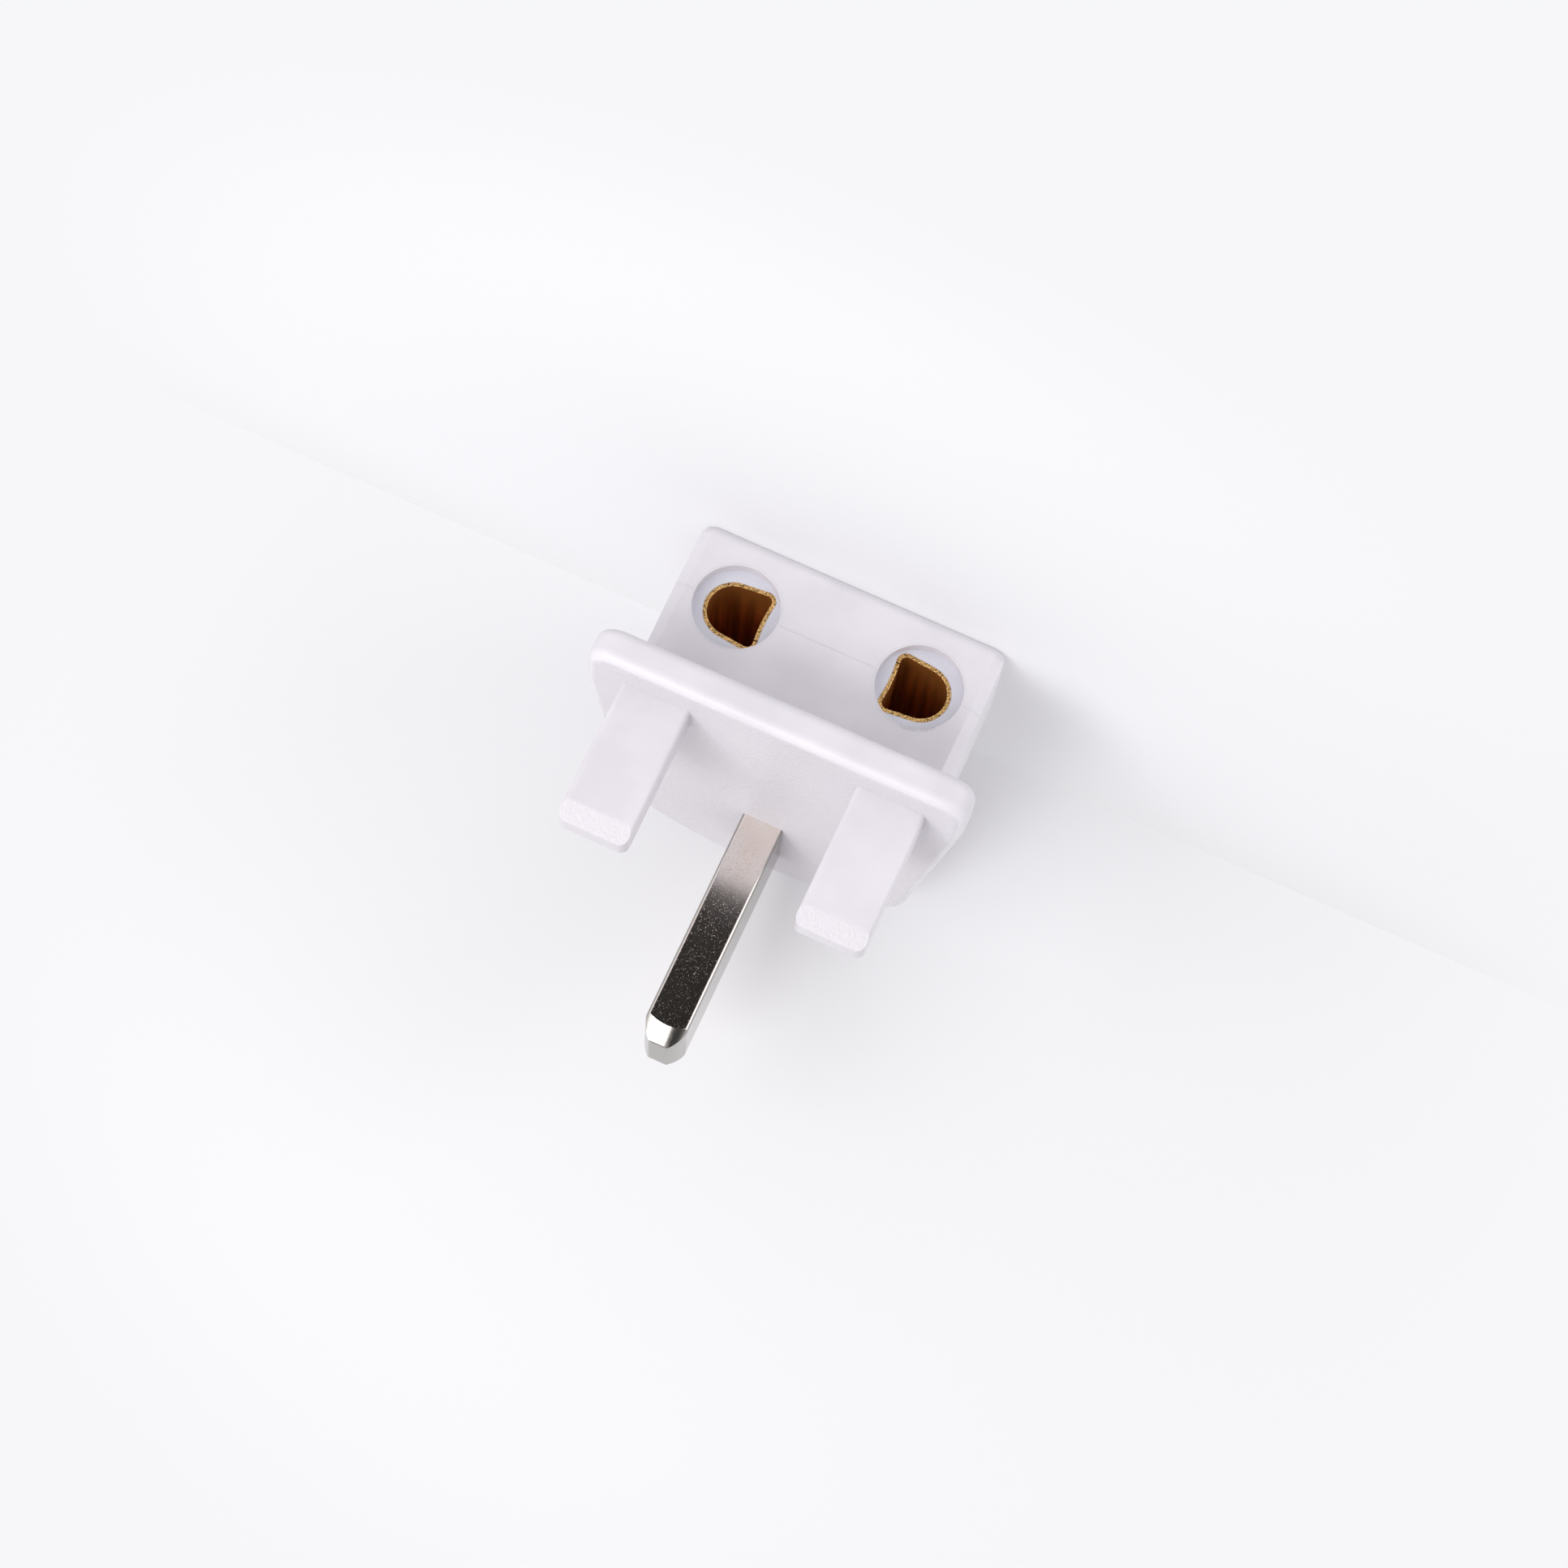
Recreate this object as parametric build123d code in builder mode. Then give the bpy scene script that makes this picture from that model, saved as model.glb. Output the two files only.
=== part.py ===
"""Grounding plug adapter: a moulded body on a flange, an earth pin, two short plastic legs and
two brass sleeves in the front face.

Units are millimetres. The adapter stands on its flat back face with the pin and the legs pointing
up along +Z. The front face with the two sockets looks to -Y. The origin is in the middle of the
flange's outline, on the back face. Reaches are measured from the earth pin's axis: positive towards
the legs and the socket face, which is -Y.
"""

import os
from math import radians, tan

from build123d import *

os.makedirs("parts", exist_ok=True)

# Standard layout of the pin and the legs
pin_width = 4.0
pin_depth = 8.0
pin_length = 22.8
leg_pitch = 22.23
leg_offset = 22.23
leg_width = 6.5
leg_depth = 4.0
leg_length = 13.3

# Flange
flange_width = 35.6
flange_front_reach = 28.0
flange_rear_reach = 9.3
flange_thickness = 3.3
flange_waist_step = 2.97
flange_taper = 7.85
flange_rear_radius = 24.0
flange_front_corner = 2.5
flange_shoulder_radius = 12.0
flange_rear_corner = 4.0
flange_edge_radius = 1.0

# Body block behind the flange
body_height = 18.6
body_overhang = 3.05
body_front_reach = 20.0
body_rear_reach = 6.5
body_rear_corner = 4.5
body_step_in = 1.2
body_chamfer_across = 0.95
body_chamfer_back = 0.8
body_draft = 0.6
body_edge_radius = 1.1
shell_wall = 1.3

# Tips and edges of the legs
leg_edge_radius = 0.45
leg_corner_radius = 0.85
leg_bevel_length = 1.75
leg_bevel_depth = 1.0
leg_bevel_radius = 0.35

# Sockets in the front face
socket_inset = 5.9
socket_height = 6.45
recess_radius = 4.0

# Rolled sleeve: D-shaped section with its round side away from the middle of the body
sleeve_round_radius = 2.75
sleeve_round_offset = 0.2
sleeve_flare = 5.5
sleeve_inner_reach = 3.1
sleeve_inner_dent = 0.3
sleeve_corner = 0.9
sleeve_wall = 0.35
seam_width = 0.12
seam_reach = 1.75
tab_width = 2.0
tab_centre = 1.0

# Strap that joins the sleeves and the pin
strap_thickness = 0.8
strap_margin = 0.6
strap_neck_width = 5.6
tab_clearance = 0.05
stud_radius = 1.1
stud_clearance = 0.05
stud_head_radius = 1.7
stud_head_height = 0.5
step_clearance = 0.1

# Earth pin
pin_edge_radius = 0.35
pin_nose_length = 1.9
pin_nose_half = 0.85
pin_nose_radius = 3.8
pin_bevel_length = 1.75
pin_bevel_depth = 1.1
pin_tip_radius = 0.4
pin_tail_floor = 3.4
pin_step_depth = 2.1

# Inner core
carrier_base_wall = 1.7
carrier_flange_gap = 1.85

# Places worked out from the sizes above
pin_y = (flange_front_reach - flange_rear_reach) / 2
face_z = body_height
flange_back_z = face_z - flange_thickness
recess_depth = shell_wall
socket_pitch = flange_width - 2 * (body_overhang + socket_inset)
strap_back_reach = pin_depth / 2 - pin_step_depth
sleeve_floor_reach = strap_back_reach + strap_thickness
sleeve_length = body_front_reach - recess_depth - sleeve_floor_reach
side_slope = tan(radians(flange_taper))
waist_half = flange_width / 2 - flange_waist_step


def y_at(reach):
    """Y of a point that lies this far from the earth pin's axis, towards the legs."""
    return pin_y - reach


def socket_plane(side, reach):
    """Plane across a socket: its x runs to the middle of the body and its z out of the mouth."""
    middle = (side * socket_pitch / 2, y_at(reach), socket_height)
    return Plane(origin=middle, x_dir=(-side, 0, 0), z_dir=(0, -1, 0))


def flange_outline():
    """Flange seen along the pin: straight front, tapered sides and a round rear edge."""
    half = flange_width / 2
    rear_half = waist_half - side_slope * flange_rear_reach
    front = y_at(flange_front_reach)
    shoulder = y_at(flange_waist_step / side_slope)
    rear = y_at(-flange_rear_reach)
    with BuildSketch() as outline:
        with BuildLine():
            Polyline(
                (-half, front), (half, front), (half, shoulder),
                (rear_half, rear), (-rear_half, rear), (-half, shoulder),
                close=True,
            )
        make_face()
        with Locations((0, rear - flange_rear_radius)):
            Circle(flange_rear_radius, mode=Mode.INTERSECT)
        fillet(outline.vertices().group_by(Axis.Y)[0], flange_front_corner)
        fillet(outline.vertices().sort_by(Axis.Y)[-2:], flange_rear_corner)
        kinks = [v for v in outline.vertices() if abs(v.Y - shoulder) < 0.001]
        fillet(kinks, flange_shoulder_radius)
    return outline.sketch


def body_outline(inset):
    """Body block seen along the pin; the draft sets its side and rear walls in by inset.

    Towards the rear its sides run parallel to the flange's, a step in from them.
    """
    half = flange_width / 2 - body_overhang - inset
    body_waist_half = waist_half - body_step_in - inset
    shoulder = y_at((half - body_waist_half) / side_slope)
    rear_half = body_waist_half - side_slope * body_rear_reach
    front = y_at(body_front_reach)
    rear = y_at(-body_rear_reach) - inset
    with BuildSketch() as outline:
        with BuildLine():
            Polyline(
                (-half + body_chamfer_across, front), (half - body_chamfer_across, front),
                (half, front + body_chamfer_back), (half, shoulder), (rear_half, rear),
                (-rear_half, rear), (-half, shoulder), (-half, front + body_chamfer_back),
                close=True,
            )
        make_face()
        kinks = [v for v in outline.vertices() if abs(v.Y - shoulder) < 0.001]
        fillet(kinks, flange_shoulder_radius)
        fillet(outline.vertices().group_by(Axis.Y)[-1], body_rear_corner - inset)
    return outline.sketch


def carrier_outline():
    """Inner core seen along the pin: the body's outline, set in by the wall of the shell."""
    with BuildSketch() as outline:
        add(body_outline(0))
        offset(amount=-shell_wall)
    return outline.sketch


def sleeve_outline():
    """Outside of a sleeve: a round side that runs out into two flared sides and a dented one."""
    slope = tan(radians(sleeve_flare))
    tangent = Vector(-sleeve_round_offset, 0) + Vector(0, sleeve_round_radius).rotate(Axis.Z, sleeve_flare)
    corner_height = tangent.Y + slope * (sleeve_inner_reach - tangent.X)
    with BuildSketch() as outline:
        with BuildLine():
            ThreePointArc(
                (tangent.X, tangent.Y),
                (-sleeve_round_offset - sleeve_round_radius, 0),
                (tangent.X, -tangent.Y),
            )
            Line((tangent.X, -tangent.Y), (sleeve_inner_reach, -corner_height))
            ThreePointArc(
                (sleeve_inner_reach, -corner_height),
                (sleeve_inner_reach - sleeve_inner_dent, 0),
                (sleeve_inner_reach, corner_height),
            )
            Line((sleeve_inner_reach, corner_height), (tangent.X, tangent.Y))
        make_face()
        fillet(outline.vertices().group_by(Axis.X)[-1], sleeve_corner)
    return outline.sketch


def sleeve_ring():
    """Wall of a sleeve in section."""
    with BuildSketch() as ring:
        add(sleeve_outline())
        offset(amount=-sleeve_wall, mode=Mode.SUBTRACT)
    return ring.sketch


def sleeve_tabs(clearance):
    """Two tabs at the sleeve's foot, or with a clearance the slots that they stand in."""
    with BuildSketch() as tabs:
        add(sleeve_outline())
        offset(amount=clearance)
        offset(sleeve_outline(), amount=-sleeve_wall - clearance, mode=Mode.SUBTRACT)
        with Locations((tab_centre, 0)):
            Rectangle(tab_width + 2 * clearance, 4 * sleeve_round_radius, mode=Mode.INTERSECT)
    return tabs.sketch


def bevelled_tip(depth, length, bevel_length, bevel_depth, radius):
    """Side view of a bar with both its faces bevelled at the tip, which lies at the origin."""
    half = depth / 2
    with BuildSketch() as view:
        with BuildLine():
            Polyline(
                (-half, -length), (half, -length), (half, -bevel_length),
                (half - bevel_depth, 0), (-half + bevel_depth, 0), (-half, -bevel_length),
                close=True,
            )
        make_face()
        fillet(view.vertices().group_by(Axis.Y)[1:], radius)
    return view.sketch


def strap_outline():
    """Strap seen from the front: a pad under each sleeve and a neck across the pin."""
    with BuildSketch() as outline:
        Rectangle(socket_pitch, strap_neck_width)
        for side in (-1, 1):
            with Locations(Location((side * socket_pitch / 2, 0), 90 + 90 * side)):
                add(offset(sleeve_outline(), amount=strap_margin, mode=Mode.PRIVATE))
    return outline.sketch


strap_plane = Plane(origin=(0, y_at(strap_back_reach), socket_height), x_dir=(1, 0, 0), z_dir=(0, -1, 0))

# Earth pin: a bar with a rounded, bevelled tip and a stepped tail with a stud peened over the strap
with BuildPart() as earth_pin:
    tip_z = face_z + pin_length
    bar_length = tip_z - pin_tail_floor
    with BuildSketch(Plane.XY.offset(pin_tail_floor)):
        with Locations((0, pin_y)):
            RectangleRounded(pin_width, pin_depth, pin_edge_radius)
    extrude(amount=bar_length)
    with BuildSketch(Plane.XZ.offset(-pin_y)) as nose:
        shoulder_z = tip_z - pin_nose_length
        with BuildLine():
            Polyline(
                (-pin_width / 2, shoulder_z), (-pin_width / 2, pin_tail_floor),
                (pin_width / 2, pin_tail_floor), (pin_width / 2, shoulder_z),
            )
            RadiusArc((-pin_width / 2, shoulder_z), (-pin_nose_half, tip_z), pin_nose_radius)
            RadiusArc((pin_width / 2, shoulder_z), (pin_nose_half, tip_z), -pin_nose_radius)
            Line((-pin_nose_half, tip_z), (pin_nose_half, tip_z))
        make_face()
        fillet(nose.vertices().group_by(Axis.Y)[-1], pin_tip_radius)
    extrude(amount=pin_depth, both=True, mode=Mode.INTERSECT)
    with BuildSketch(Plane.YZ):
        with Locations((pin_y, tip_z)):
            add(bevelled_tip(pin_depth, bar_length, pin_bevel_length, pin_bevel_depth, pin_tip_radius))
    extrude(amount=pin_width, both=True, mode=Mode.INTERSECT)
    step_top = socket_height + strap_neck_width / 2 + step_clearance
    with BuildSketch(Plane.XY.offset(pin_tail_floor)):
        with Locations((0, y_at(strap_back_reach + pin_depth / 2))):
            Rectangle(2 * pin_width, pin_depth)
    extrude(amount=step_top - pin_tail_floor, mode=Mode.SUBTRACT)
    with BuildSketch(strap_plane):
        Circle(stud_radius)
    extrude(amount=strap_thickness)
    with BuildSketch(strap_plane.offset(strap_thickness)):
        Circle(stud_head_radius)
    extrude(amount=stud_head_height)
earth_pin.part.label = "earth_pin"
export_step(earth_pin.part, "parts/earth_pin.step")

# Strap: flat brass with a hole for the stud and slots for the sleeves' tabs
with BuildPart() as bus_strap:
    with BuildSketch(strap_plane):
        add(strap_outline())
        Circle(stud_radius + stud_clearance, mode=Mode.SUBTRACT)
        for side in (-1, 1):
            with Locations(Location((side * socket_pitch / 2, 0), 90 + 90 * side)):
                add(sleeve_tabs(tab_clearance), mode=Mode.SUBTRACT)
    extrude(amount=strap_thickness)
bus_strap.part.label = "bus_strap"
export_step(bus_strap.part, "parts/bus_strap.step")

# Sleeves: the same rolled strip twice, turned half a turn, with its seam beside one inner corner
for name, side in (("contact_sleeve_left", -1), ("contact_sleeve_right", 1)):
    with BuildPart() as contact_sleeve:
        with BuildSketch(socket_plane(side, sleeve_floor_reach)):
            add(sleeve_ring())
            with Locations((sleeve_inner_reach, -seam_reach)):
                Rectangle(sleeve_corner + sleeve_wall, seam_width, mode=Mode.SUBTRACT)
        extrude(amount=sleeve_length)
        with BuildSketch(socket_plane(side, sleeve_floor_reach)):
            add(sleeve_tabs(0))
        extrude(amount=-strap_thickness)
    contact_sleeve.part.label = name
    export_step(contact_sleeve.part, f"parts/{name}.step")

# Inner core: moulded round the metal parts, open only where the sleeves are
with BuildPart() as contact_carrier:
    with BuildSketch(Plane.XY.offset(carrier_base_wall)):
        add(carrier_outline())
    extrude(amount=flange_back_z - carrier_flange_gap - carrier_base_wall)
    carrier_block = contact_carrier.part
    with BuildSketch(strap_plane):
        add(strap_outline())
    extrude(amount=strap_thickness, mode=Mode.SUBTRACT)
    for side in (-1, 1):
        with BuildSketch(socket_plane(side, sleeve_floor_reach)):
            add(sleeve_outline())
        extrude(amount=sleeve_length, mode=Mode.SUBTRACT)
    add(earth_pin.part, mode=Mode.SUBTRACT)
contact_carrier.part.label = "contact_carrier"
export_step(contact_carrier.part, "parts/contact_carrier.step")

# Legs: two short bars, rounded at their corners and bevelled on their wide faces
with BuildPart() as legs:
    leg_y = y_at(leg_offset)
    leg_tip_z = face_z + leg_length
    with BuildSketch(Plane.XY.offset(face_z)):
        with Locations((-leg_pitch / 2, leg_y), (leg_pitch / 2, leg_y)):
            RectangleRounded(leg_width, leg_depth, leg_edge_radius)
    extrude(amount=leg_length)
    with BuildSketch(Plane.XZ.offset(-leg_y)) as leg_fronts:
        with Locations((-leg_pitch / 2, leg_tip_z), (leg_pitch / 2, leg_tip_z)):
            Rectangle(leg_width, leg_length, align=(Align.CENTER, Align.MAX))
        fillet(leg_fronts.vertices().group_by(Axis.Y)[-1], leg_corner_radius)
    extrude(amount=leg_depth, both=True, mode=Mode.INTERSECT)
    with BuildSketch(Plane.YZ):
        with Locations((leg_y, leg_tip_z)):
            add(bevelled_tip(leg_depth, leg_length, leg_bevel_length, leg_bevel_depth, leg_bevel_radius))
    extrude(amount=leg_pitch, both=True, mode=Mode.INTERSECT)

# Housing: flange, body block and legs in one moulding round the core
with BuildPart() as housing:
    with BuildSketch(Plane.XY.offset(flange_back_z)):
        add(flange_outline())
    extrude(amount=flange_thickness)
    fillet(housing.faces().filter_by(Axis.Z).edges(), flange_edge_radius)
    for end_z in (0, flange_back_z + flange_edge_radius):
        inset = tan(radians(body_draft)) * abs(end_z - socket_height)
        with BuildSketch(Plane.XY.offset(socket_height)):
            add(body_outline(0))
        with BuildSketch(Plane.XY.offset(end_z)):
            add(body_outline(inset))
        loft(ruled=True)
    fillet(housing.faces().sort_by(Axis.Z)[0].edges(), body_edge_radius)
    add(legs.part)
    for side in (-1, 1):
        with BuildSketch(socket_plane(side, body_front_reach)):
            Circle(recess_radius)
        extrude(amount=-recess_depth, mode=Mode.SUBTRACT)
    add(carrier_block, mode=Mode.SUBTRACT)
    add(earth_pin.part, mode=Mode.SUBTRACT)
housing.part.label = "housing"
export_step(housing.part, "parts/housing.step")
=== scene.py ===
from math import atan2, cos, pi, radians, sin

import bmesh
import bpy
from mathutils import Matrix, Vector, noise


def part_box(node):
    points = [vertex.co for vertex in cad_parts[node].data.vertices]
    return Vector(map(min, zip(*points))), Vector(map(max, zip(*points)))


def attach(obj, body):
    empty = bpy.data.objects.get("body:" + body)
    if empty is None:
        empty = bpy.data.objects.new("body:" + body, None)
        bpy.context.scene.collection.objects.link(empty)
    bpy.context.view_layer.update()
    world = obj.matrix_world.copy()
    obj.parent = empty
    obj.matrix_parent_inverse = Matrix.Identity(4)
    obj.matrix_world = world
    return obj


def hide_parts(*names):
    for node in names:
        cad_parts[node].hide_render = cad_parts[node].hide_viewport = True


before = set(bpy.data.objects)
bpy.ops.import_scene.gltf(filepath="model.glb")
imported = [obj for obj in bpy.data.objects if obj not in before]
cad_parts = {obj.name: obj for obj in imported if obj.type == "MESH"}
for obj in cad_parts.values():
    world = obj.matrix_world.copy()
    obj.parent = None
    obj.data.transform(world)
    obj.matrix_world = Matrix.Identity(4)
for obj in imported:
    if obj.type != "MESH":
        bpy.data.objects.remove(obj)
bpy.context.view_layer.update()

bl_info = {
    "name": "Grounding plug adapter",
    "version": (1, 0, 0),
    "blender": (4, 5, 0),
    "location": "View3D > Sidebar > Adapter",
    "description": "Finishes, moulding marks and studio of a small grounding plug adapter",
    "category": "Object",
}

MM = 0.001
HOUSING_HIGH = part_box("housing")[1]
PIN_LOW, PIN_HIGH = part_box("earth_pin")
SLEEVE_LOW, SLEEVE_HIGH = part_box("contact_sleeve_left")

# Sizes of the adapter that no node's box gives
PIN_REACH = 22.8 * MM  # from the flange's face to the pin's tip
SOCKET_X = 8.85 * MM  # from the middle to a socket's axis
RECESS_RADIUS = 4.0 * MM
RECESS_DEPTH = 1.3 * MM

# Places on the adapter that the marks and the finishes are laid out from
FLANGE_FACE_Z = PIN_HIGH.z - PIN_REACH
SOCKET_Z = (SLEEVE_LOW.z + SLEEVE_HIGH.z) / 2
FLOOR_Y = SLEEVE_LOW.y
SOCKET_FACE_Y = FLOOR_Y - RECESS_DEPTH

# Seed of the ragged marks, which are the same in every run
RAGGED_SEED = 7

# A Mix node's two colour sockets, which come after its sockets for numbers and vectors
FIRST_COLOUR = 6
SECOND_COLOUR = 7


def linear(code):
    """Turns an sRGB hex colour into Blender's linear one."""
    channels = [int(code[i : i + 2], 16) / 255 for i in (0, 2, 4)]
    return tuple(c / 12.92 if c <= 0.04045 else ((c + 0.055) / 1.055) ** 2.4 for c in channels)


def rgba(colour, share=1.0):
    """A colour at a share of its brightness, with full opacity, as a node's socket takes it."""
    return (*(channel * share for channel in colour), 1.0)


def add_node(tree, kind, inputs=None, **settings):
    """Adds a node with its settings. An input given a node or a socket is linked, any other is set."""
    made = tree.nodes.new(kind)
    for name, value in settings.items():
        setattr(made, name, value)
    for key, value in (inputs or {}).items():
        if isinstance(value, bpy.types.Node):
            value = next(socket for socket in value.outputs if socket.enabled)
        if isinstance(value, bpy.types.NodeSocket):
            tree.links.new(value, made.inputs[key])
        else:
            made.inputs[key].default_value = value
    return made


def emptied_tree(owner):
    """The node tree of a material or a world, with nothing in it."""
    owner.use_nodes = True
    owner.node_tree.nodes.clear()
    return owner.node_tree


def colour_property(name, description, code):
    """A colour in the panel, with its default written as a hex code."""
    return bpy.props.FloatVectorProperty(
        name=name, description=description, default=linear(code), size=3, subtype="COLOR", min=0, max=1
    )


def length_property(name, description, millimetres):
    """A length in the panel, with its default in millimetres."""
    return bpy.props.FloatProperty(
        name=name,
        description=description,
        default=millimetres * MM,
        subtype="DISTANCE",
        unit="LENGTH",
        min=0,
    )


def power_property(name, description, watts):
    """A lamp's power in the panel."""
    return bpy.props.FloatProperty(name=name, description=description, default=watts, unit="POWER", min=0)


class AdapterFinishes(bpy.types.PropertyGroup):
    """Colours and surface grain of the adapter."""

    shell: colour_property("Shell", "White moulded plastic of the body, flange and legs", "dedae0")
    core: colour_property("Core", "Cooler white plastic at the floor of the sockets", "dddde6")
    nickel: colour_property("Nickel", "Plating of the earth pin", "f8f2ec")
    brass: colour_property("Brass", "Cut edge of the sleeves", "ffcf86")
    brass_inside: colour_property("Brass inside", "Walls of the sleeves", "fb9c48")
    shell_roughness: bpy.props.FloatProperty(
        name="Shell roughness", description="How soft the sheen of the shell is", default=0.42, min=0, max=1
    )
    # The real grains are too fine to show, so these three are drawn coarser
    erosion_grain: length_property("Eroded grain", "Grain of the eroded faces", 0.24)
    plating_grain: length_property("Plating grain", "Grain of the pin's narrow faces", 0.12)
    edge_grain: length_property("Cut grain", "Tear marks on the sleeves' cut edge", 0.2)


class AdapterMarks(bpy.types.PropertyGroup):
    """Sizes of the small marks that the mould and the press leave."""

    line_width: length_property("Line width", "Width of the mould's parting line", 0.1)
    line_height: length_property("Line height", "How far the parting line stands proud", 0.005)
    burr_depth: length_property("Burr depth", "How far back the sleeve's burr reaches", 0.22)
    burr_height: length_property("Burr height", "How far the burr stands out of the cut edge", 0.05)
    flash_width: length_property("Flash width", "Width of the flash left on a recess's rim", 0.16)
    bevel_length: length_property("Bevel length", "Length of the bevel in front of the pin's tip", 1.75)
    bevel_depth: length_property("Bevel depth", "How far the tip is set back in front", 1.1)
    bevel_rounding: length_property("Bevel rounding", "Rounding where the bevel meets the pin's faces", 0.3)
    nose_rounding: length_property("Nose rounding", "Rounding of the pin's end towards its sides", 1.0)
    crown_angle: bpy.props.FloatProperty(
        name="Crown",
        description="How far the bevel turns from its middle to its side",
        default=radians(16),
        subtype="ANGLE",
        unit="ROTATION",
        min=radians(1),
        max=radians(40),
    )
    lip_radius: length_property("Lip radius", "Rounding of the bead round a recess's mouth", 0.09)


class AdapterStudio(bpy.types.PropertyGroup):
    """Light, backdrop and camera."""

    backdrop: colour_property("Backdrop", "Pale backdrop, as it shows in the picture", "f7f7f9")
    table_paper: colour_property("Table", "Paper behind the adapter, under the light", "dfdfe1")
    floor_paper: colour_property("Floor", "Paper under the adapter, under the light", "e5e5e7")
    low_power: power_property("Low", "Main lamp, beyond the pin", 1.6)
    left_power: power_property("Left", "Lamp on the left", 0.36)
    right_power: power_property("Right", "Lamp on the right", 0.38)
    ambient: bpy.props.FloatProperty(name="Ambient", description="Light from all round", default=0.77, min=0)


# Finishes


def shell_plastic(look):
    """Moulded ABS: white with a faint mottle, a soft sheen and a little light let in.

    The flange's face and the leg bevels come off spark-eroded steel, so they are grained and sparkle.
    The other faces come off polished steel, which leaves fine drawn lines and a few specks.
    """
    mottle_size = 6 * MM
    ripple_size = 0.9 * MM
    # The real lines and specks are finer, and these are drawn coarser so that they show
    line_spacing = 0.25 * MM
    line_stretch = (0.04, 1, 1)
    speck_size = 0.2 * MM
    material = bpy.data.materials.new("moulded_abs_white")
    tree = emptied_tree(material)
    place = add_node(tree, "ShaderNodeTexCoord").outputs["Object"]
    xyz = add_node(tree, "ShaderNodeSeparateXYZ", {"Vector": place})
    surface = add_node(tree, "ShaderNodeNewGeometry")
    facing = add_node(tree, "ShaderNodeSeparateXYZ", {"Vector": surface.outputs["Normal"]})

    # Mottle of the resin
    mottle = add_node(
        tree, "ShaderNodeTexNoise",
        {"Vector": place, "Scale": 1 / mottle_size, "Detail": 2, "Roughness": 0.55},
    )
    mottled = add_node(
        tree, "ShaderNodeMapRange", {"Value": mottle, "From Min": 0.3, "From Max": 0.75},
        interpolation_type="SMOOTHSTEP",
    )
    colour = add_node(
        tree, "ShaderNodeMix",
        {"Factor": mottled, FIRST_COLOUR: rgba(look.shell), SECOND_COLOUR: rgba(look.shell, 0.93)},
        data_type="RGBA",
    )

    # Eroded where the surface is beyond the flange's face and turned to the pin's tip, with painted shade
    # there that greys these lamp-facing faces a little
    above = add_node(
        tree, "ShaderNodeMapRange",
        {
            "Value": xyz.outputs["Z"],
            "From Min": FLANGE_FACE_Z - 0.12 * MM,
            "From Max": FLANGE_FACE_Z - 0.04 * MM,
        },
        interpolation_type="SMOOTHSTEP",
    )
    upward = add_node(
        tree, "ShaderNodeMapRange", {"Value": facing.outputs["Z"], "From Min": 0.2, "From Max": 0.35},
        interpolation_type="SMOOTHSTEP",
    )
    eroded = add_node(tree, "ShaderNodeMath", {0: above, 1: upward}, operation="MULTIPLY")
    eroded_painted_shade = add_node(
        tree, "ShaderNodeMix",
        {"Factor": eroded, FIRST_COLOUR: colour, SECOND_COLOUR: rgba(look.shell, 0.9)},
        data_type="RGBA",
    )
    sheen = add_node(
        tree, "ShaderNodeMapRange", {"Value": eroded, "To Min": look.shell_roughness, "To Max": 0.36}
    )

    # Relief, from the broad ripple to the eroded grain
    ripple = add_node(
        tree, "ShaderNodeTexNoise",
        {"Vector": place, "Scale": 1 / ripple_size, "Detail": 2, "Roughness": 0.55},
    )
    stretched = add_node(tree, "ShaderNodeMapping", {"Vector": place, "Scale": line_stretch})
    drawn = add_node(
        tree, "ShaderNodeTexNoise",
        {"Vector": stretched, "Scale": 1 / line_spacing, "Detail": 1, "Roughness": 0.55},
    )
    dust = add_node(
        tree, "ShaderNodeTexNoise",
        {"Vector": place, "Scale": 1 / speck_size, "Detail": 1, "Roughness": 0.55},
    )
    specks = add_node(
        tree, "ShaderNodeMapRange", {"Value": dust, "From Min": 0.7, "From Max": 0.78},
        interpolation_type="SMOOTHSTEP",
    )
    grain = add_node(
        tree, "ShaderNodeTexNoise",
        {"Vector": place, "Scale": 1 / look.erosion_grain, "Detail": 3, "Roughness": 0.55},
    )
    pits = add_node(tree, "ShaderNodeMath", {0: grain, 1: eroded}, operation="MULTIPLY")
    relief = add_node(tree, "ShaderNodeBump", {"Height": ripple, "Strength": 0.25, "Distance": 0.012 * MM})
    relief = add_node(
        tree, "ShaderNodeBump", {"Height": drawn, "Strength": 0.12, "Distance": 0.01 * MM, "Normal": relief}
    )
    relief = add_node(
        tree, "ShaderNodeBump",
        {"Height": specks, "Strength": 0.35, "Distance": 0.015 * MM, "Normal": relief},
    )
    relief = add_node(
        tree, "ShaderNodeBump", {"Height": pits, "Strength": 0.8, "Distance": 0.11 * MM, "Normal": relief}
    )
    shader = add_node(
        tree, "ShaderNodeBsdfPrincipled",
        {
            "Base Color": eroded_painted_shade,
            "Roughness": sheen,
            "Normal": relief,
            "IOR": 1.5,
            "Specular IOR Level": 0.5,
            "Subsurface Weight": 0.12,
            "Subsurface Radius": (1.0, 0.85, 0.9),
            "Subsurface Scale": 0.5 * MM,
        },
    )
    add_node(tree, "ShaderNodeOutputMaterial", {"Surface": shader})
    return material


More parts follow.
